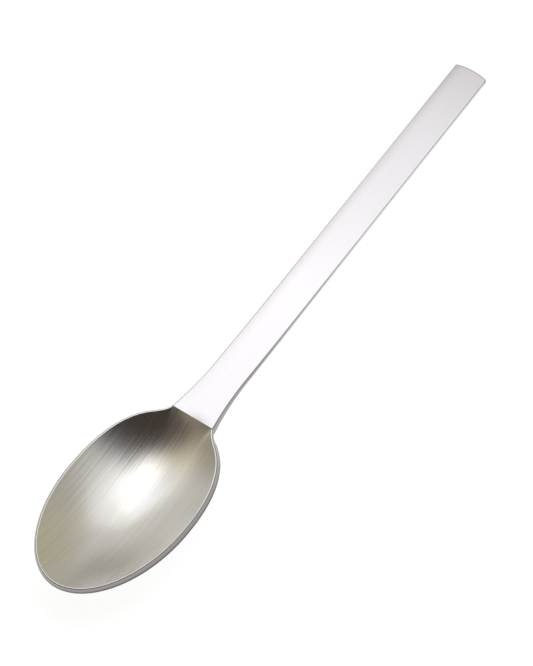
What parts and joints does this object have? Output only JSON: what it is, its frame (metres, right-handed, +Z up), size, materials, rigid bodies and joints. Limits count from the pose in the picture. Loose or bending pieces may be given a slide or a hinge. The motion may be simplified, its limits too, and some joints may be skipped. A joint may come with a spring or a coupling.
{
  "type": "coffee spoon",
  "caption": "Coffee spoon with an oval pressed bowl butt joined at the neck to a flat strip handle that thins towards its bluntly arched end, in brushed steel.",
  "frame": {"origin": "on the table under the middle of the spoon's length and width, with the spoon lying as it rests", "axes": "+X along the spoon towards the end of the handle, +Y to the left, +Z up from the table"},
  "size_m": [0.1336, 0.0246, 0.0093],
  "materials": {
    "bowl_steel": "brushed along the spoon, semi-bright",
    "handle_steel": "fine satin"
  },
  "bodies": {
    "root": {"bowl": "bowl_steel", "handle": "handle_steel"}
  },
  "joints": []
}
